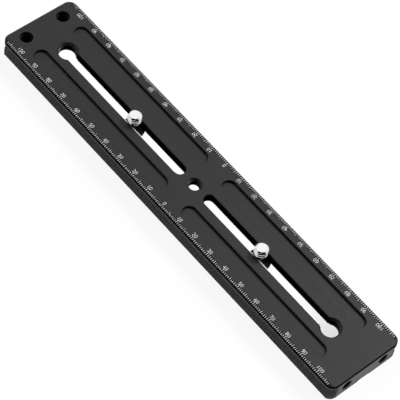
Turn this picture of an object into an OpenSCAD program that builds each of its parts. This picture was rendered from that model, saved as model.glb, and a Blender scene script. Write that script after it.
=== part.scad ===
// Camera rail plate: a dovetail rail with two captive camera screws that slide along its slots.
// The origin is the middle of the underside. +X runs along the rail to its tapped front end,
// +Z points up, to the camera. All lengths are in millimetres.

/* [Rail] */
// Length of the rail
rail_l = 220; // [170:5:320]
// Width of the top flange
rail_w = 39.3; // [37:0.1:50]
// Full thickness of the rail
rail_t = 10; // [9:0.5:14]
// Corner radius seen from above
corner_r = 4; // [1:0.5:5]
// Chamfer along the outer edges
edge_chamfer = 0.4; // [0.1:0.1:0.8]

/* [Dovetail] */
// Inset of the dovetail foot from the flange, on each side
foot_inset = 0.4; // [0:0.1:1.5]
// Depth of the side grooves, measured from the foot's edge
groove_depth = 3; // [1.5:0.1:3.5]
// Height of the straight lip at the foot's edge
lip_h = 1.6; // [1:0.1:2.5]
// Thickness of the top flange over the grooves
flange_t = 2.4; // [2.2:0.1:3.5]

/* [Slots] */
// Distance from each end of the rail to its keyhole
keyhole_from_end = 22.5; // [18:0.5:30]
// Distance from the rail's middle to the inner end of each slot
slot_from_middle = 7.2; // [5:0.1:15]
// Thickness of the web that the slots pass through
web_t = 4.7; // [2.5:0.1:5.5]
// Chamfer round the slots, keyholes and pockets
rim_chamfer = 0.25; // [0.1:0.05:0.4]
// Thread diameter of the keyholes, 3/8 inch
keyhole_d = 9.525; // [8:0.025:11]
// Side play of a screw's neck in its slot
neck_play = 0.8; // [0.4:0.05:1.1]

/* [Channel] */
// Width of the channel under the web that the washers run in
channel_w = 19; // [14:0.5:20]
// Width of the shallow guide groove along the underside
guide_w = 6; // [3:0.5:9]
// Depth of the guide groove
guide_depth = 0.8; // [0.3:0.1:1.5]

/* [Middle hole] */
// Thread diameter of the middle hole, 1/4 inch
middle_d = 6.35; // [4:0.05:7.5]
// Chamfer at both mouths of the middle hole
middle_chamfer = 0.3; // [0.1:0.05:0.5]

/* [Pockets] */
// Width of the four shallow pockets
pocket_w = 7.1; // [3:0.1:7.5]
// Depth of the pockets
pocket_depth = 1.2; // [0.5:0.1:2.1]
// Distance from the rail's long edge to a pocket
pocket_margin = 4.85; // [4.5:0.05:7]
// Distance from the rail's middle to a pocket
pocket_from_middle = 6.4; // [4:0.1:20]
// Distance from the rail's end to a pocket
pocket_from_end = 14.6; // [12:0.1:30]

/* [End holes] */
// Distance between the two bolt holes at either end
bolt_spacing = 20.5; // [18:0.5:23]
// Diameter of the through holes at the rear end
through_d = 5.5; // [4:0.1:6]
// Distance from the rear end to the through holes
through_from_end = 6; // [5:0.5:9]
// Thread diameter of the tapped holes in the front end, M5
tap_d = 5; // [3:0.1:5.5]
// Depth of the tapped holes
tap_depth = 12; // [6:0.5:16]
// Angle of the drilled tip of the tapped holes
drill_angle = 118; // [90:1:140]
// Chamfer at the mouths of the bolt holes
bolt_chamfer = 0.3; // [0.1:0.05:0.5]

/* [Camera screws] */
// Outer diameter of the camera thread, 1/4 inch
stud_d = 6.35; // [5.8:0.05:7.5]
// Length of the threaded stud
stud_l = 3.8; // [2.4:0.1:6]
// Chamfer at the stud's tip
tip_chamfer = 0.5; // [0.2:0.05:1.2]
// Length of the cone at the thread's lower end, where it runs out to the neck
runout_l = 1.6; // [0.4:0.1:1.8]
// Height of the thread's lower end above the rail
thread_gap = 0.7; // [0.4:0.1:2]
// Diameter of the neck that slides in the slot
neck_d = 3.9; // [3:0.1:4.1]
// Diameter of the screw head
head_d = 9.6; // [7:0.1:10.6]
// Thickness of the screw head
head_t = 1.6; // [1.2:0.1:2.2]
// Chamfer round the head
head_chamfer = 0.3; // [0.1:0.05:0.5]
// Width of the coin slot in the head
coin_slot_w = 1.6; // [0.8:0.1:2.5]
// Depth of the coin slot
coin_slot_depth = 0.9; // [0.4:0.1:1]
// Distance of the rear screw from the rail's middle
rear_screw_x = 41; // [20:0.5:60]
// Distance of the front screw from the rail's middle
front_screw_x = 43; // [20:0.5:60]

/* [Washers] */
// Diameter of the captive washers
washer_d = 10.8; // [9.6:0.1:12]
// Thickness of the washers
washer_t = 1.5; // [0.5:0.1:2]
// Radial running clearance of a washer on the neck
washer_clearance = 0.05; // [0.02:0.01:0.1]
// Chamfer round the washers
washer_chamfer = 0.2; // [0.05:0.05:0.25]

/* [Hidden] */
$fn = 96;
// Overrun of every cut past the face it opens
cut_over = 1;

// Slots, worked out from the screws that run in them
slot_w = neck_d + 2 * neck_play;
keyhole_x = rail_l / 2 - keyhole_from_end;
slot_end_x = slot_from_middle + slot_w / 2;
web_bottom = rail_t - web_t;

// Dovetail section, half widths
flange_y = rail_w / 2;
foot_y = flange_y - foot_inset;
neck_y = foot_y - groove_depth;

// Pockets, places of the centres of their round ends
pocket_y = flange_y - pocket_margin - pocket_w / 2;
pocket_inner_x = pocket_from_middle + pocket_w / 2;
pocket_outer_x = rail_l / 2 - pocket_from_end - pocket_w / 2;

// Heights of the screws
head_top = web_bottom - washer_t;
head_bottom = head_top - head_t;
thread_bottom = rail_t + thread_gap;
tip_top = thread_bottom + stud_l;

// Cross-section of the rail on one side of its middle plane, from the bottom up
function half_section(s) = [
    [s * (foot_y - edge_chamfer), 0],
    [s * foot_y, edge_chamfer],
    [s * foot_y, lip_h],
    [s * neck_y, lip_h + groove_depth],
    [s * neck_y, rail_t - flange_t],
    [s * flange_y, rail_t - flange_t],
    [s * flange_y, rail_t - edge_chamfer],
    [s * (flange_y - edge_chamfer), rail_t]
];

function reversed(points) = [for (i = [len(points) - 1:-1:0]) points[i]];

module dovetail_bar() {
    rotate([90, 0, 90])
        linear_extrude(height = rail_l, center = true)
            polygon(concat(half_section(1), reversed(half_section(-1))));
}

// Side view of the rail with both ends chamfered, as wide as the bar
module chamfered_ends() {
    end_x = rail_l / 2;
    rotate([90, 0, 0])
        linear_extrude(height = rail_w + 2 * cut_over, center = true)
            polygon([
                [-end_x + edge_chamfer, 0],
                [end_x - edge_chamfer, 0],
                [end_x, edge_chamfer],
                [end_x, rail_t - edge_chamfer],
                [end_x - edge_chamfer, rail_t],
                [-end_x + edge_chamfer, rail_t],
                [-end_x, rail_t - edge_chamfer],
                [-end_x, edge_chamfer]
            ]);
}

// Post with the corner's radius and the outer chamfers
module corner_post() {
    rotate_extrude()
        polygon([
            [0, 0],
            [corner_r - edge_chamfer, 0],
            [corner_r, edge_chamfer],
            [corner_r, rail_t - edge_chamfer],
            [corner_r - edge_chamfer, rail_t],
            [0, rail_t]
        ]);
}

// What is cut away outside one rounded corner
module corner_cut() {
    difference() {
        translate([0, 0, -cut_over])
            cube([corner_r + cut_over, corner_r + cut_over, rail_t + 2 * cut_over]);
        corner_post();
    }
}

// Slot with round ends at x1 and x2, open upwards from z, with a chamfer at the top face
module round_slot(x1, x2, w, z) {
    for (x = [x1, x2])
        translate([x, 0, 0])
            chamfered_hole(w, z);
    translate([x1, -w / 2, z])
        cube([x2 - x1, w, rail_t - z + cut_over]);
    translate([x1, 0, 0])
        rotate([90, 0, 90])
            linear_extrude(height = x2 - x1)
                polygon([
                    [-w / 2, rail_t - rim_chamfer],
                    [w / 2, rail_t - rim_chamfer],
                    [w / 2 + rim_chamfer + cut_over, rail_t + cut_over],
                    [-w / 2 - rim_chamfer - cut_over, rail_t + cut_over]
                ]);
}

// Round hole open upwards from z, with a chamfer at the top face
module chamfered_hole(d, z) {
    translate([0, 0, z])
        cylinder(d = d, h = rail_t - z + cut_over);
    rim_cone(d, rim_chamfer);
}

// Chamfer of a hole at the top face
module rim_cone(d, c) {
    translate([0, 0, rail_t - c])
        cylinder(d1 = d, d2 = d + 2 * (c + cut_over), h = c + cut_over);
}

// Threaded hole in the middle, chamfered at both mouths
module middle_hole() {
    translate([0, 0, web_bottom - cut_over])
        cylinder(d = middle_d, h = web_t + 2 * cut_over);
    rim_cone(middle_d, middle_chamfer);
    translate([0, 0, web_bottom - cut_over])
        cylinder(
            d1 = middle_d + 2 * (middle_chamfer + cut_over),
            d2 = middle_d,
            h = middle_chamfer + cut_over
        );
}

// Keyhole and slot of the front half
module slot_half() {
    round_slot(slot_end_x, keyhole_x, slot_w, web_bottom - cut_over);
    translate([keyhole_x, 0, 0])
        chamfered_hole(keyhole_d, web_bottom - cut_over);
}

// Washer channel under the web, from keyhole to keyhole
module channel() {
    for (s = [-1, 1])
        translate([s * keyhole_x, 0, -cut_over])
            cylinder(d = channel_w, h = web_bottom + cut_over);
    translate([-keyhole_x, -channel_w / 2, -cut_over])
        cube([2 * keyhole_x, channel_w, web_bottom + cut_over]);
}

// Shallow groove along the whole underside
module guide_groove() {
    translate([-rail_l / 2 - cut_over, -guide_w / 2, -cut_over])
        cube([rail_l + 2 * cut_over, guide_w, guide_depth + cut_over]);
}

// Through hole at the rear end, chamfered at both faces
module through_hole() {
    translate([0, 0, -cut_over])
        cylinder(d = through_d, h = rail_t + 2 * cut_over);
    rim_cone(through_d, bolt_chamfer);
    translate([0, 0, -cut_over])
        cylinder(
            d1 = through_d + 2 * (bolt_chamfer + cut_over),
            d2 = through_d,
            h = bolt_chamfer + cut_over
        );
}

// Tapped hole along -X from the front end, with a drilled tip
module tapped_hole() {
    tap_r = tap_d / 2;
    mouth_r = tap_r + bolt_chamfer + cut_over;
    tip_l = tap_r / tan(drill_angle / 2);
    translate([0, 0, rail_t / 2])
        rotate([0, -90, 0])
            rotate_extrude()
                polygon([
                    [0, -cut_over],
                    [mouth_r, -cut_over],
                    [tap_r, bolt_chamfer],
                    [tap_r, tap_depth],
                    [0, tap_depth + tip_l]
                ]);
}

module rail_plate() {
    color([0.23, 0.23, 0.24])
        difference() {
            intersection() {
                dovetail_bar();
                chamfered_ends();
            }
            for (sx = [0, 1], sy = [0, 1])
                mirror([sx, 0, 0])
                    mirror([0, sy, 0])
                        translate([rail_l / 2 - corner_r, rail_w / 2 - corner_r, 0])
                            corner_cut();
            channel();
            guide_groove();
            middle_hole();
            for (sx = [0, 1])
                mirror([sx, 0, 0]) {
                    slot_half();
                    for (s = [-1, 1])
                        translate([0, s * pocket_y, 0])
                            round_slot(pocket_inner_x, pocket_outer_x, pocket_w, rail_t - pocket_depth);
                }
            for (s = [-1, 1]) {
                translate([-rail_l / 2 + through_from_end, s * bolt_spacing / 2, 0])
                    through_hole();
                translate([rail_l / 2, s * bolt_spacing / 2, 0])
                    tapped_hole();
            }
        }
}

// Captive washer between the web and a screw head, at x along the rail
module washer(x) {
    bore_r = neck_d / 2 + washer_clearance;
    outer_r = washer_d / 2;
    color([0.08, 0.08, 0.08])
        translate([x, 0, head_top])
            rotate_extrude()
                polygon([
                    [bore_r, 0],
                    [outer_r - washer_chamfer, 0],
                    [outer_r, washer_chamfer],
                    [outer_r, washer_t - washer_chamfer],
                    [outer_r - washer_chamfer, washer_t],
                    [bore_r, washer_t]
                ]);
}

// Camera screw at x along the rail: head, thin neck and threaded stud in one piece
module camera_screw(x) {
    head_r = head_d / 2;
    neck_r = neck_d / 2;
    stud_r = stud_d / 2;
    color([0.8, 0.8, 0.82])
        translate([x, 0, 0])
            difference() {
                rotate_extrude()
                    polygon([
                        [0, head_bottom],
                        [head_r - head_chamfer, head_bottom],
                        [head_r, head_bottom + head_chamfer],
                        [head_r, head_top - head_chamfer],
                        [head_r - head_chamfer, head_top],
                        [neck_r, head_top],
                        [neck_r, thread_bottom],
                        [stud_r, thread_bottom + runout_l],
                        [stud_r, tip_top - tip_chamfer],
                        [stud_r - tip_chamfer, tip_top],
                        [0, tip_top]
                    ]);
                translate([-head_r - cut_over, -coin_slot_w / 2, head_bottom - cut_over])
                    cube([head_d + 2 * cut_over, coin_slot_w, coin_slot_depth + cut_over]);
            }
}

module rear_washer() { washer(-rear_screw_x); }
module rear_camera_screw() { camera_screw(-rear_screw_x); }
module front_washer() { washer(front_screw_x); }
module front_camera_screw() { camera_screw(front_screw_x); }

rail_plate();
rear_washer();
rear_camera_screw();
front_washer();
front_camera_screw();
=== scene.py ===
import math

import bpy
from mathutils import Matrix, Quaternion, Vector


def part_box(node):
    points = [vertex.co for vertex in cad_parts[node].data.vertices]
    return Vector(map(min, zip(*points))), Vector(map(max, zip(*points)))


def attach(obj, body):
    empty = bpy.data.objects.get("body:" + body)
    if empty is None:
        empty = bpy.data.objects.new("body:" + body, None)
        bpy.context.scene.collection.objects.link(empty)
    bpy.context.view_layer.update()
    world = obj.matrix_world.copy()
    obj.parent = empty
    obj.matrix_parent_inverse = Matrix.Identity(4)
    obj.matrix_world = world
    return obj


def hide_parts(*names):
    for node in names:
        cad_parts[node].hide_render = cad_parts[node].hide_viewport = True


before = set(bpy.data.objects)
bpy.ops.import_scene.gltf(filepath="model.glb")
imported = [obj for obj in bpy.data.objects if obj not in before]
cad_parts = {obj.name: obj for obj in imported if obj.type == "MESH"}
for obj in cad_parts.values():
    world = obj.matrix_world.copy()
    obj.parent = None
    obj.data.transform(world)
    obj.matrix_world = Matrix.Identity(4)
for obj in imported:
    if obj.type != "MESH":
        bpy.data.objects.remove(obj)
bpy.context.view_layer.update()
bpy.ops.object.select_all(action="DESELECT")

MM = 0.001

# Rail, screws and washers, from the frame
FRONT_X, EDGE_Y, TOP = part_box("rail_plate")[1]
SCREW_LOW, SCREW_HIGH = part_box("rear_camera_screw")
HEAD_R = (SCREW_HIGH.y - SCREW_LOW.y) / 2
HEAD_BOTTOM = SCREW_LOW.z
SCREW_TIP = SCREW_HIGH.z
HEAD_TOP, WEB_BOTTOM = (corner.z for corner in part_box("rear_washer"))

# Threads: radius of the wall that carries the ridge, radius of its crest, and pitch
KEYHOLE_THREAD = (4.7625 * MM, 3.97 * MM, 1.5875 * MM)
MIDDLE_THREAD = (3.175 * MM, 2.55 * MM, 1.27 * MM)
TAPPED_THREAD = (2.5 * MM, 2.1 * MM, 0.8 * MM)
FLANK_ANGLE = math.radians(30)
RIDGE_SHARE = 0.47
WALL_BITE = 0.08 * MM
THREAD_LIFT = 0.02 * MM
THREAD_SIDES = 60

# Slots, keyholes and middle hole
SLOT_W = 5.5 * MM
SLOT_END_X = 9.95 * MM
KEYHOLE_X = 87.5 * MM
KEYHOLE_RIM = 0.25 * MM
MIDDLE_RIM = 0.3 * MM
# Strips of bright metal along the slots' -Y rims, painted highlights for the glint there
RIM_GLINT_W = 0.28 * MM
RIM_GLINT_END = 83.3 * MM

# Tapped holes in the front end and bolt holes at the rear end
BOLT_Y = 10.25 * MM
BOLT_Z = 5 * MM
BOLT_RIM = 0.3 * MM
TAP_DEPTH = 12 * MM
REAR_BOLT_FROM_END = 6 * MM
REAR_BOLT_MOUTH_R = 3.1 * MM

# Camera screw
STUD_R = 3.175 * MM
CORE_R = 2.45 * MM
STUD_PITCH = 1.27 * MM
STUD_BOTTOM = 10.7 * MM
TIP_CHAMFER = 0.85 * MM
CREST_ROUNDING = 0.07 * MM
NECK_R = 1.95 * MM
OVERLAP = 0.1 * MM
HEAD_CHAMFER = 0.3 * MM
HEAD_CHAMFER_STEPS = 3
COIN_SLOT_W = 1.6 * MM
COIN_SLOT_DEPTH = 0.9 * MM
TURNED_SIDES = 96

# Parts of the rail with painted shade and painted light instead of sheen: depths of its zones, and the
# upright share of a normal on its walls and slopes
END_SKIN = 0.4 * MM
FLANK_W = 4 * MM
EDGE_BAND = 1.0 * MM
TOP_SKIN = 0.1 * MM
UPRIGHT = 0.5
SLOPED = 0.85

# Guide groove along the underside
GUIDE_W = 6 * MM

# Scale on the top face
MARK_T = 0.02 * MM
TICK_W = 0.15 * MM
TICK_FROM_EDGE = 0.45 * MM
TICK_LAST = 107
TICK_STEP = 0.9946 * MM
SHORT_TICK = 1.0 * MM
FIFTH_TICK = 0.35 * MM
TENTH_TICK = 0.4 * MM
NUMERAL_LAST = 100
NUMERAL_H = 1.9 * MM
NUMERAL_FROM_EDGE = 2.05 * MM
NUMERAL_THINNING = 0.05 * MM
NUMERAL_STEPS = 4
FONT_HEIGHT_SHARE = 0.729

# Working tolerances
NEAR = 0.01 * MM
MERGE = 0.001 * MM

# Studio floor and sky
STUDIO_R = 3.2
WALL_H = 0.5
FLOOR_GREY = (0.9, 0.9, 0.9)
FLOOR_GLOW = 0.9
MIRRORED_GLOW = 0.9
# Under the rail the floor glows white to the camera, painted light in place of the rail's shadow; towards
# the front end a painted shadow dims that glow
UNDER_INSET_X = 2 * MM
UNDER_INSET_Y = 2.5 * MM
NOTCH_REACH = 1 * MM
PAINTED_SHADOW_START_X = 60 * MM
PAINTED_SHADOW_END_X = 96 * MM
PAINTED_SHADOW_GLOW = 0.7
SKY_LEVEL = 0.8

# Patches of the sky: direction, cosines of the angles where it starts and where it is full, and its change
SKY_BOOST = (Vector((-0.2, 0.62, 0.76)), 0.55, 1.0, 0.25)
SKY_DARK = (Vector((0.62, -0.48, 0.643)), 0.6, 0.74, -0.8)

# Key lamp
KEY_PLACE = Vector((0.2, 1.1, 1.2))
KEY_SIZE = 0.5
KEY_POWER = 20.0

# Camera, fitted to the corners, holes and numerals of the top face
CAMERA_PLACE = Vector((331.26, -393.8, 746.91)) * MM
CAMERA_AIM = Vector((7.48, -3.35, 10.0)) * MM
CAMERA_ROLL = math.radians(12.161)
CAMERA_LENS = 189.52
CAMERA_SENSOR = 36
CAMERA_CLIP = (0.05, 20)


class Value:
    """A socket of a node. Sums, products and comparisons of values add Math nodes."""

    def __init__(self, finish, socket):
        self.finish = finish
        self.socket = socket

    def math(self, operation, first, second=0.0):
        return self.finish.add("ShaderNodeMath", {"operation": operation}, {0: first, 1: second})

    def split(self):
        """The three components of a vector."""
        first = self.finish.add("ShaderNodeSeparateXYZ", inputs={0: self})
        return [Value(self.finish, socket) for socket in first.socket.node.outputs]

    def __add__(self, other):
        return self.math("ADD", self, other)

    def __radd__(self, other):
        return self.math("ADD", other, self)

    def __sub__(self, other):
        return self.math("SUBTRACT", self, other)

    def __rsub__(self, other):
        return self.math("SUBTRACT", other, self)

    def __mul__(self, other):
        return self.math("MULTIPLY", self, other)

    def __rmul__(self, other):
        return self.math("MULTIPLY", other, self)

    def __gt__(self, other):
        return self.math("GREATER_THAN", self, other)

    def __lt__(self, other):
        return self.math("LESS_THAN", self, other)

    def __abs__(self):
        return self.math("ABSOLUTE", self)


class Finish:
    """A node tree of a material or of the world, and the nodes that are added to it."""

    def __init__(self, owner):
        owner.use_nodes = True
        self.owner = owner
        self.nodes = owner.node_tree.nodes
        self.links = owner.node_tree.links

    def add(self, kind, settings=None, inputs=None, output=0):
        """Adds a node: its settings first, then its inputs, as values or links. Returns one output."""
        node = self.nodes.new(kind)
        for name, value in (settings or {}).items():
            setattr(node, name, value)
        for name, value in (inputs or {}).items():
            if isinstance(value, Value):
                self.links.new(value.socket, node.inputs[name])
            else:
                node.inputs[name].default_value = value
        return Value(self, node.outputs[output])

    def drive(self, node_name, socket_name, value):
        """Feeds a value or a link into a socket of a node that is there."""
        socket = self.nodes[node_name].inputs[socket_name]
        if isinstance(value, Value):
            self.links.new(value.socket, socket)
        else:
            socket.default_value = value

    def place(self):
        return self.add("ShaderNodeTexCoord", output="Object")

    def noise(self, place, scale=1.0, detail=2.0, roughness=0.5):
        inputs = {"Vector": place, "Scale": scale, "Detail": detail, "Roughness": roughness}
        return self.add("ShaderNodeTexNoise", inputs=inputs)

    def stretched(self, place, x, y, z):
        """The place, multiplied along each axis."""
        return self.add("ShaderNodeVectorMath", {"operation": "MULTIPLY"}, {0: place, 1: (x, y, z)})

    def tint(self, factor, dark, light):
        """A colour that goes from dark to light as the factor goes from 0 to 1."""
        inputs = {0: factor, 6: (*dark, 1.0), 7: (*light, 1.0)}
        return self.add("ShaderNodeMix", {"data_type": "RGBA"}, inputs, 2)

    def ramp(self, value, start, end, low, high):
        """Goes smoothly from low to high while the value goes from start to end."""
        settings = {"interpolation_type": "SMOOTHSTEP"}
        return self.add("ShaderNodeMapRange", settings, {0: value, 1: start, 2: end, 3: low, 4: high})

    def glow(self, strength):
        return self.add("ShaderNodeEmission", inputs={"Color": (1, 1, 1, 1), "Strength": strength})

    def mix(self, factor, first, second):
        """The first shader where the factor is 0, the second where it is 1."""
        return self.add("ShaderNodeMixShader", inputs={0: factor, 1: first, 2: second})

    def show(self, shader):
        self.links.new(shader.socket, self.nodes["Material Output"].inputs["Surface"])

    def bump(self, height, distance, strength, below=None):
        inputs = {"Height": height, "Distance": distance, "Strength": strength}
        if below is not None:
            inputs["Normal"] = below
        return self.add("ShaderNodeBump", inputs=inputs)


def new_finish(name):
    return Finish(bpy.data.materials.new(name))


def anodised_black():
    """Black anodised aluminium: fine blasted grain, faint milling lines and cloudy sheen."""
    finish = new_finish("anodised_black")
    place = finish.place()
    grain = finish.noise(place, scale=9000.0, detail=3.0, roughness=0.6)
    cloud = finish.noise(place, scale=45.0, detail=3.0)
    lines = finish.noise(finish.stretched(place, 60.0, 5200.0, 5200.0))
    speckle = finish.noise(place, scale=1300.0, roughness=0.7)
    streaks = finish.noise(finish.stretched(place, 5.0, 650.0, 650.0), detail=3.0, roughness=0.6)
    shade = cloud * 0.1 + speckle * 0.45 + grain * 0.1 + streaks * 0.35
    tint = finish.tint(shade, dark=(0.0, 0.0, 0.0), light=(0.024, 0.024, 0.0245))
    finish.drive("Principled BSDF", "Base Color", tint)
    finish.drive("Principled BSDF", "Roughness", streaks * 0.15 + speckle * 0.12 + grain * 0.08 + 0.22)
    finish.drive("Principled BSDF", "Specular IOR Level", 0.31)
    relief = finish.bump(grain, distance=0.012 * MM, strength=0.6)
    relief = finish.bump(lines, distance=0.006 * MM, strength=0.5, below=relief)
    finish.drive("Principled BSDF", "Normal", relief)
    sheen = Value(finish, finish.nodes["Principled BSDF"].outputs[0])
    # Painted shade takes the place of the sheen on the upright walls, in the bores and along the front
    # end's edges, with painted light on the long sides' faces; along the scale the marking dulls the dye
    share = wall_mask(finish, place) + scale_band(place) * 0.6
    finish.show(finish.mix(share, sheen, dull_walls(finish, place, lines)))
    return finish.owner


def wall_mask(finish, place):
    """1 on the rail's upright walls, flanks and outer edges and in its bolt holes, 0 elsewhere: the places
    given painted shade, and on the flanks painted light, in place of the sheen.
    """
    level = abs(finish.add("ShaderNodeTexCoord", output="Normal").split()[2])
    x, y, z = place.split()
    behind_end = x < FRONT_X - END_SKIN
    across = abs(y) - BOLT_Y
    height = z - BOLT_Z
    bore_r = TAPPED_THREAD[0] + 2 * WALL_BITE
    # Painted shade inside the front tapped holes
    bore = (x > FRONT_X - TAP_DEPTH) * behind_end * (across * across + height * height < bore_r * bore_r)
    along = x + FRONT_X - REAR_BOLT_FROM_END
    mouth = across * across + along * along < REAR_BOLT_MOUTH_R * REAR_BOLT_MOUTH_R
    # Faces along the long sides: painted light in their middle, painted shade near their top and bottom
    flank = (level < SLOPED) * (abs(y) > EDGE_Y - FLANK_W)
    # Painted shade lines along the front end face's upper and lower edges
    edge = (level < SLOPED) * (x > FRONT_X - END_SKIN) * ((z > TOP - EDGE_BAND) + (z < EDGE_BAND))
    return (level < UPRIGHT) * behind_end + bore + mouth + flank + edge > 0.5


def scale_band(place):
    """1 along the ticks of both scales, where the marking has dulled the dye."""
    x, y, z = place.split()
    across = abs(y)
    outer = EDGE_Y - TICK_FROM_EDGE
    return (across < outer) * (across > outer - SHORT_TICK - FIFTH_TICK) * (z > TOP - TOP_SKIN)


def dull_walls(finish, place, lines):
    """Matt near-black colour with no sheen: painted shade on the walls, bores and edges, and the dye
    dulled by the marking along the scale; lighter on the flanks and in the rear bolt holes, as painted
    light.
    """
    x, y, z = place.split()
    # Painted light: a lighter colour on the faces along the long sides and, at 0.4 of it, in the rear bolt
    # holes
    flank = (abs(y) > EDGE_Y - FLANK_W) * (z < TOP - EDGE_BAND) * (z > EDGE_BAND)
    bolt_hole = (x < 2 * REAR_BOLT_FROM_END - FRONT_X) * (z < TOP - EDGE_BAND) * 0.4
    light = flank.math("MAXIMUM", flank, bolt_hole) * (lines * 0.3 + 0.7)
    inputs = {
        "Base Color": finish.tint(light, dark=(0.006, 0.006, 0.0065), light=(0.11, 0.11, 0.111)),
        "Roughness": lines * 0.2 + 0.55,
        "Specular IOR Level": 0.0,
    }
    return finish.add("ShaderNodeBsdfPrincipled", inputs=inputs)


def polished_steel():
    """Turned and polished steel, with fine rings about the screw's axis."""
    finish = new_finish("polished_steel")
    place = finish.place()
    rings = finish.noise(finish.stretched(place, 300.0, 300.0, 14000.0))
    cloud = finish.noise(place, scale=700.0)
    tint = finish.tint(cloud, dark=(0.78, 0.78, 0.78), light=(0.95, 0.95, 0.955))
    finish.drive("Principled BSDF", "Metallic", 1.0)
    finish.drive("Principled BSDF", "Base Color", tint)
    finish.drive("Principled BSDF", "Roughness", rings * 0.04 + cloud * 0.04 + 0.03)
    finish.drive("Principled BSDF", "Normal", finish.bump(rings, distance=0.002 * MM, strength=0.4))
    return finish.owner


def black_nylon():
    """Black nylon with a fine moulded grain."""
    finish = new_finish("black_nylon")
    place = finish.place()
    grain = finish.noise(place, scale=5000.0, detail=3.0)
    cloud = finish.noise(place, scale=400.0)
    tint = finish.tint(cloud, dark=(0.006, 0.006, 0.006), light=(0.014, 0.014, 0.014))
    finish.drive("Principled BSDF", "Base Color", tint)
    finish.drive("Principled BSDF", "Roughness", grain * 0.15 + 0.45)
    finish.drive("Principled BSDF", "Normal", finish.bump(grain, distance=0.01 * MM, strength=0.5))
    return finish.owner


def laser_white():
    """White laser marking, slightly grainy where the beam has bleached the dye."""
    finish = new_finish("laser_white")
    grain = finish.noise(finish.place(), scale=7000.0, detail=3.0, roughness=0.7)
    tint = finish.tint(grain, dark=(0.82, 0.82, 0.82), light=(0.97, 0.97, 0.97))
    finish.drive("Principled BSDF", "Base Color", tint)
    finish.drive("Principled BSDF", "Roughness", grain * 0.2 + 0.55)
    finish.drive("Principled BSDF", "Normal", finish.bump(grain, distance=0.008 * MM, strength=0.5))
    return finish.owner


def bare_aluminium():
    """Bright bare aluminium for the painted highlight strips on the slot rims, with fine scratches along
    the rail.
    """
    finish = new_finish("bare_aluminium")
    scratches = finish.noise(finish.stretched(finish.place(), 400.0, 16000.0, 16000.0), detail=3.0)
    tint = finish.tint(scratches, dark=(0.8, 0.8, 0.8), light=(0.96, 0.96, 0.965))
    finish.drive("Principled BSDF", "Metallic", 1.0)
    finish.drive("Principled BSDF", "Base Color", tint)
    finish.drive("Principled BSDF", "Roughness", scratches * 0.2 + 0.2)
    finish.drive("Principled BSDF", "Normal", finish.bump(scratches, distance=0.003 * MM, strength=0.5))
    return finish.owner


def duplicate(piece):
    """A copy of the piece with a mesh of its own."""
    copy = piece.copy()
    copy.data = piece.data.copy()
    bpy.context.scene.collection.objects.link(copy)
    return copy


def activate(piece):
    bpy.ops.object.select_all(action="DESELECT")
    piece.select_set(True)
    bpy.context.view_layer.objects.active = piece


def placed():
    """The active object, with its place, turn and scale moved into its mesh."""
    piece = bpy.context.object
    activate(piece)
    bpy.ops.object.transform_apply(location=True, rotation=True, scale=True)
    return piece


def apply_modifier(piece, kind, **settings):
    modifier = piece.modifiers.new(kind.lower(), kind)
    for name, value in settings.items():
        setattr(modifier, name, value)
    activate(piece)
    bpy.ops.object.modifier_apply(modifier=modifier.name)


def combine(piece, other, operation):
    """Joins, cuts or intersects piece with other, which is used up."""
    apply_modifier(piece, "BOOLEAN", operation=operation, solver="EXACT", object=other)
    bpy.data.objects.remove(other)
    return piece


def cylinder(radius, low, high):
    middle = (0, 0, (low + high) / 2)
    bpy.ops.mesh.primitive_cylinder_add(
        vertices=TURNED_SIDES, radius=radius, depth=high - low, location=middle
    )
    return placed()


def cone(low_r, high_r, low, high):
    middle = (0, 0, (low + high) / 2)
    bpy.ops.mesh.primitive_cone_add(
        vertices=TURNED_SIDES, radius1=low_r, radius2=high_r, depth=high - low, location=middle
    )
    return placed()


def block(low, high):
    low, high = Vector(low), Vector(high)
    bpy.ops.mesh.primitive_cube_add(size=1, location=(low + high) / 2)
    bpy.context.object.scale = high - low
    return placed()


def edit_edges(piece, test):
    """Opens edit mode with only the edges selected that test picks by their middle."""
    activate(piece)
    bpy.ops.object.mode_set(mode="EDIT")
    bpy.ops.mesh.select_mode(type="EDGE")
    bpy.ops.mesh.select_all(action="DESELECT")
    bpy.ops.object.mode_set(mode="OBJECT")
    mesh = piece.data
    for edge in mesh.edges:
        start, end = (mesh.vertices[i].co for i in edge.vertices)
        edge.select = test((start + end) / 2)
    bpy.ops.object.mode_set(mode="EDIT")


def settle(piece, name, material, body, angle=32):
    """Names the finished piece, gives it its material and lets it ride on its body."""
    piece.name = name
    piece.data.name = name
    piece.data.materials.clear()
    piece.data.materials.append(material)
    activate(piece)
    bpy.ops.object.shade_smooth_by_angle(angle=math.radians(angle))
    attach(piece, body)


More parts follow.
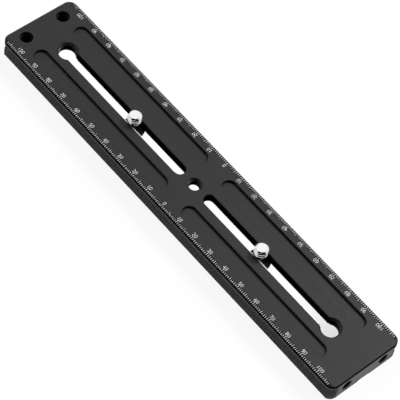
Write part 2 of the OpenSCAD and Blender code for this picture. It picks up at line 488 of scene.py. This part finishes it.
def helical_ridge(base_r, crest_r, pitch, low, high, rounding=0.0, sides=THREAD_SIDES):
    """Closed ridge of a V thread about Z, wide at base_r and narrow at crest_r, past low and high."""
    depth = abs(crest_r - base_r)
    base_h = 2 * RIDGE_SHARE * pitch
    crest_h = base_h - 2 * depth * math.tan(FLANK_ANGLE)
    start_z = low - pitch
    bpy.ops.mesh.primitive_circle_add(
        vertices=4,
        radius=math.sqrt(0.5),
        fill_type="NOTHING",
        rotation=(math.pi / 2, math.pi / 4, 0),
        location=((base_r + crest_r) / 2, 0, start_z),
    )
    bpy.context.object.scale = (depth, depth, depth)
    ridge = placed()
    for x, height in ((base_r, base_h), (crest_r, crest_h)):
        edit_edges(ridge, lambda middle: abs(middle.x - x) < NEAR)
        bpy.ops.transform.resize(value=(1, 1, height / depth), center_override=(x, 0, start_z))
        if rounding and x == crest_r:
            bpy.ops.mesh.bevel(offset=rounding, segments=1, affect="VERTICES")
        bpy.ops.object.mode_set(mode="OBJECT")
    apply_modifier(
        ridge,
        "SCREW",
        axis="Z",
        angle=2 * math.pi,
        screw_offset=pitch,
        iterations=math.ceil((high - low) / pitch) + 2,
        steps=sides,
        render_steps=sides,
        use_smooth_shade=False,
    )
    activate(ridge)
    bpy.ops.object.mode_set(mode="EDIT")
    bpy.ops.mesh.select_all(action="SELECT")
    bpy.ops.mesh.remove_doubles(threshold=MERGE)
    bpy.ops.mesh.fill_holes(sides=0)
    bpy.ops.mesh.select_all(action="SELECT")
    bpy.ops.mesh.normals_make_consistent(inside=False)
    bpy.ops.object.mode_set(mode="OBJECT")
    return ridge


def inner_thread(thread, low, high, rim):
    """Ridge of a tapped hole about Z, with its mouth at high countersunk by rim."""
    wall_r, crest_r, pitch = thread
    base_r = wall_r + WALL_BITE
    ridge = helical_ridge(base_r, crest_r, pitch, low, high)
    sink = wall_r + rim - crest_r
    space = cylinder(2 * base_r, low, high)
    combine(space, cone(crest_r - sink, crest_r + 2 * sink, high - 2 * sink, high + sink), "DIFFERENCE")
    return combine(ridge, space, "INTERSECT")


def move(piece, x, y, z, turn_y=0.0):
    """Turns the piece about Y and moves it, in its mesh."""
    piece.rotation_euler = (0, turn_y, 0)
    piece.location = (x, y, z)
    activate(piece)
    return placed()


def make_worn_edges(material):
    """Painted highlight: a strip of bright metal along the -Y rim of each slot, standing in for the glint
    on that rim.
    """
    inner = -SLOT_W / 2
    low = (SLOT_END_X, inner - RIM_GLINT_W, TOP - KEYHOLE_RIM)
    front = block(low, (RIM_GLINT_END, inner, TOP + MARK_T))
    rear = duplicate(front)
    move(rear, -SLOT_END_X - RIM_GLINT_END, 0, 0)
    settle(front, "front_slot_rim_glint", material, "rail")
    settle(rear, "rear_slot_rim_glint", material, "rail")


def make_threads(material):
    """Threads of the keyholes, open towards their slots, of the middle hole and of the tapped holes."""
    slot_reach = KEYHOLE_THREAD[0] * 2
    for name, x, side in (("rear", -KEYHOLE_X, 1), ("front", KEYHOLE_X, -1)):
        ridge = inner_thread(KEYHOLE_THREAD, WEB_BOTTOM + THREAD_LIFT, TOP, KEYHOLE_RIM)
        low = (min(0, side * slot_reach), -SLOT_W / 2 - KEYHOLE_RIM, 0)
        high = (max(0, side * slot_reach), SLOT_W / 2 + KEYHOLE_RIM, 2 * TOP)
        combine(ridge, block(low, high), "DIFFERENCE")
        move(ridge, x, 0, 0)
        settle(ridge, name + "_keyhole_thread", material, "rail")
    ridge = inner_thread(MIDDLE_THREAD, WEB_BOTTOM + MIDDLE_RIM, TOP, MIDDLE_RIM)
    settle(ridge, "middle_hole_thread", material, "rail")
    first = inner_thread(TAPPED_THREAD, -TAP_DEPTH, 0, BOLT_RIM)
    for name, y in (("left", BOLT_Y), ("right", -BOLT_Y)):
        ridge = duplicate(first)
        move(ridge, FRONT_X, y, BOLT_Z, math.pi / 2)
        settle(ridge, name + "_tapped_thread", material, "rail")
    bpy.data.objects.remove(first)


def threaded_stud():
    """Stud with a rounded crest, chamfered at the tip and cut off at its lower end."""
    base_r = CORE_R - WALL_BITE
    stud = cylinder(CORE_R, STUD_BOTTOM - STUD_PITCH, SCREW_TIP + STUD_PITCH)
    rounding = {"rounding": CREST_ROUNDING, "sides": TURNED_SIDES}
    ridge = helical_ridge(base_r, STUD_R, STUD_PITCH, STUD_BOTTOM, SCREW_TIP, **rounding)
    combine(stud, ridge, "UNION")
    envelope = cylinder(2 * STUD_R, STUD_BOTTOM, SCREW_TIP)
    tip_r = STUD_R - TIP_CHAMFER
    cone_h = 3 * STUD_R
    combine(envelope, cone(tip_r + cone_h, tip_r, SCREW_TIP - cone_h, SCREW_TIP), "INTERSECT")
    return combine(stud, envelope, "INTERSECT")


def camera_screw():
    """Camera screw about Z at the middle of the rail: slotted head, neck and threaded stud."""
    screw = cylinder(HEAD_R, HEAD_BOTTOM, HEAD_TOP)
    edit_edges(screw, lambda p: min(abs(p.z - HEAD_BOTTOM), abs(p.z - HEAD_TOP)) < NEAR)
    bpy.ops.mesh.bevel(offset=HEAD_CHAMFER, segments=HEAD_CHAMFER_STEPS)
    bpy.ops.object.mode_set(mode="OBJECT")
    slot_low = (-HEAD_R * 2, -COIN_SLOT_W / 2, HEAD_BOTTOM - COIN_SLOT_DEPTH)
    slot_high = (HEAD_R * 2, COIN_SLOT_W / 2, HEAD_BOTTOM + COIN_SLOT_DEPTH)
    combine(screw, block(slot_low, slot_high), "DIFFERENCE")
    neck = cylinder(NECK_R, HEAD_TOP - OVERLAP, STUD_BOTTOM + OVERLAP)
    combine(screw, neck, "UNION")
    return combine(screw, threaded_stud(), "UNION")


def make_screws(material):
    first = camera_screw()
    for name in ("rear", "front"):
        node = name + "_camera_screw"
        low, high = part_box(node)
        screw = duplicate(first)
        move(screw, (low.x + high.x) / 2, 0, 0)
        settle(screw, name + "_threaded_screw", material, name + "_screw", angle=24)
        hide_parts(node)
    bpy.data.objects.remove(first)


def tick_bars(first, step, start, length):
    """Row of marks across the -Y edge, from start to start plus length from the edge."""
    low = (first * TICK_STEP - TICK_W / 2, -EDGE_Y + start, TOP)
    high = (first * TICK_STEP + TICK_W / 2, -EDGE_Y + start + length, TOP + MARK_T)
    bar = block(low, high)
    apply_modifier(
        bar,
        "ARRAY",
        count=1 - 2 * first // step,
        use_relative_offset=False,
        use_constant_offset=True,
        constant_offset_displace=(step * TICK_STEP, 0, 0),
    )
    return bar


def join(pieces):
    bpy.ops.object.select_all(action="DESELECT")
    for piece in pieces:
        piece.select_set(True)
    bpy.context.view_layer.objects.active = pieces[0]
    bpy.ops.object.join()
    return pieces[0]


def tick_row():
    """Short marks along the -Y edge, each fifth one longer and each tenth one longer still."""
    bars = [tick_bars(-TICK_LAST, 1, TICK_FROM_EDGE, SHORT_TICK)]
    fifth = 5 * (TICK_LAST // 5)
    start = TICK_FROM_EDGE + SHORT_TICK
    bars.append(tick_bars(-fifth, 5, start, FIFTH_TICK))
    tenth = 10 * (TICK_LAST // 10)
    start += FIFTH_TICK
    bars.append(tick_bars(-tenth, 10, start, TENTH_TICK))
    return join(bars)


def numeral_row():
    """Numerals along the -Y edge, their feet towards it."""
    numerals = []
    for value in range(-NUMERAL_LAST, NUMERAL_LAST + 1, 10):
        bpy.ops.object.text_add(location=(0, 0, 0))
        text = bpy.context.object
        text.data.body = str(abs(value))
        text.data.align_x = "CENTER"
        text.data.size = NUMERAL_H / FONT_HEIGHT_SHARE
        text.data.extrude = MARK_T / 2
        text.data.offset = -NUMERAL_THINNING
        text.data.resolution_u = NUMERAL_STEPS
        activate(text)
        bpy.ops.object.convert(target="MESH")
        numeral = bpy.context.object
        numeral.location = (value * TICK_STEP, -EDGE_Y + NUMERAL_FROM_EDGE, TOP + MARK_T / 2)
        numerals.append(placed())
    return join(numerals)


def make_scale(material):
    """The scale along the -Y edge, and the same one turned round for the other edge."""
    for make, name in ((tick_row, "ticks"), (numeral_row, "numerals")):
        right = make()
        left = duplicate(right)
        left.rotation_euler = (0, 0, math.pi)
        activate(left)
        placed()
        settle(right, "right_scale_" + name, material, "rail")
        settle(left, "left_scale_" + name, material, "rail")


def floor_finish():
    """Pale matt floor, brighter to the camera than it is lit; under the rail it glows white to the camera
    as painted light in place of the rail's shadow, with a painted shadow dimming it near the front end.
    """
    finish = new_finish("studio_floor")
    camera = finish.add("ShaderNodeLightPath", output="Is Camera Ray")
    glossy = finish.add("ShaderNodeLightPath", output="Is Glossy Ray")
    passing = finish.add("ShaderNodeLightPath", output="Is Transmission Ray")
    mirrored = camera.math("MAXIMUM", glossy, passing)
    x, y, z = finish.place().split()
    # Painted light: under the rail and in the front end's notch the camera sees white glow instead of the
    # floor's shade
    inside = (abs(x) < FRONT_X - UNDER_INSET_X) * (abs(y) < EDGE_Y - UNDER_INSET_Y)
    notch = (abs(x) < FRONT_X + NOTCH_REACH) * (abs(y) < GUIDE_W / 2)
    under = camera.math("MAXIMUM", inside, notch)
    paint = finish.add("ShaderNodeBsdfDiffuse", inputs={"Color": (*FLOOR_GREY, 1)})
    share = camera * (1 - under) * FLOOR_GLOW + mirrored * MIRRORED_GLOW
    floor = finish.mix(share, paint, finish.glow(1.0))
    # Painted shadow: the white glow under the rail dims towards the front keyhole
    painted_shadow_share = finish.ramp(x, PAINTED_SHADOW_START_X, PAINTED_SHADOW_END_X, 0.0, 1.0) - (x > FRONT_X - UNDER_INSET_X)
    below_rail = finish.mix(painted_shadow_share, finish.glow(1.0), finish.glow(PAINTED_SHADOW_GLOW))
    finish.show(finish.mix(under * camera, floor, below_rail))
    return finish.owner


def make_studio():
    """Round floor with a low wall far off."""
    bpy.ops.mesh.primitive_circle_add(vertices=96, radius=STUDIO_R, fill_type="NGON", location=(0, 0, 0))
    studio = placed()
    bpy.ops.object.mode_set(mode="EDIT")
    bpy.ops.mesh.select_mode(type="EDGE")
    bpy.ops.mesh.select_all(action="SELECT")
    bpy.ops.mesh.region_to_loop()
    bpy.ops.mesh.extrude_region_move(TRANSFORM_OT_translate={"value": (0, 0, WALL_H)})
    bpy.ops.object.mode_set(mode="OBJECT")
    studio.name = "studio_floor"
    studio.data.materials.append(floor_finish())


def make_world():
    """Even sky, a little brighter behind the rail, with a dark patch as of a black screen in front."""
    world = bpy.data.worlds.new("studio")
    bpy.context.scene.world = world
    finish = Finish(world)
    look = finish.add("ShaderNodeTexCoord")
    strength = SKY_LEVEL
    for aim, start, end, change in (SKY_BOOST, SKY_DARK):
        inputs = {0: look, 1: aim.normalized()}
        near = finish.add("ShaderNodeVectorMath", {"operation": "DOT_PRODUCT"}, inputs, "Value")
        strength = finish.ramp(near, start, end, 0.0, change) + strength
    finish.drive("Background", "Strength", strength)
    finish.drive("Background", "Color", (1, 1, 1, 1))


def make_key_lamp():
    """Soft square lamp high up on the far side, aimed at the rail."""
    lamp = bpy.data.lights.new("key", "AREA")
    lamp.shape = "SQUARE"
    lamp.size = KEY_SIZE
    lamp.energy = KEY_POWER
    light = bpy.data.objects.new("key", lamp)
    light.location = KEY_PLACE
    light.rotation_mode = "QUATERNION"
    light.rotation_quaternion = (-KEY_PLACE).to_track_quat("-Z", "Y")
    bpy.context.scene.collection.objects.link(light)


def make_camera():
    data = bpy.data.cameras.new("photo")
    data.lens = CAMERA_LENS
    data.sensor_width = CAMERA_SENSOR
    data.clip_start, data.clip_end = CAMERA_CLIP
    camera = bpy.data.objects.new("photo", data)
    camera.location = CAMERA_PLACE
    camera.rotation_mode = "QUATERNION"
    level = (CAMERA_AIM - CAMERA_PLACE).to_track_quat("-Z", "Y")
    camera.rotation_quaternion = level @ Quaternion((0, 0, 1), CAMERA_ROLL)
    bpy.context.scene.collection.objects.link(camera)
    bpy.context.scene.camera = camera


def paint_node(name, material):
    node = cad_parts[name]
    node.data.materials.clear()
    node.data.materials.append(material)


anodised = anodised_black()
nylon = black_nylon()
paint_node("rail_plate", anodised)
paint_node("rear_washer", nylon)
paint_node("front_washer", nylon)
make_threads(anodised)
make_worn_edges(bare_aluminium())
make_screws(polished_steel())
make_scale(laser_white())

make_studio()
make_world()
make_key_lamp()
make_camera()
bpy.context.scene.view_settings.view_transform = "Standard"
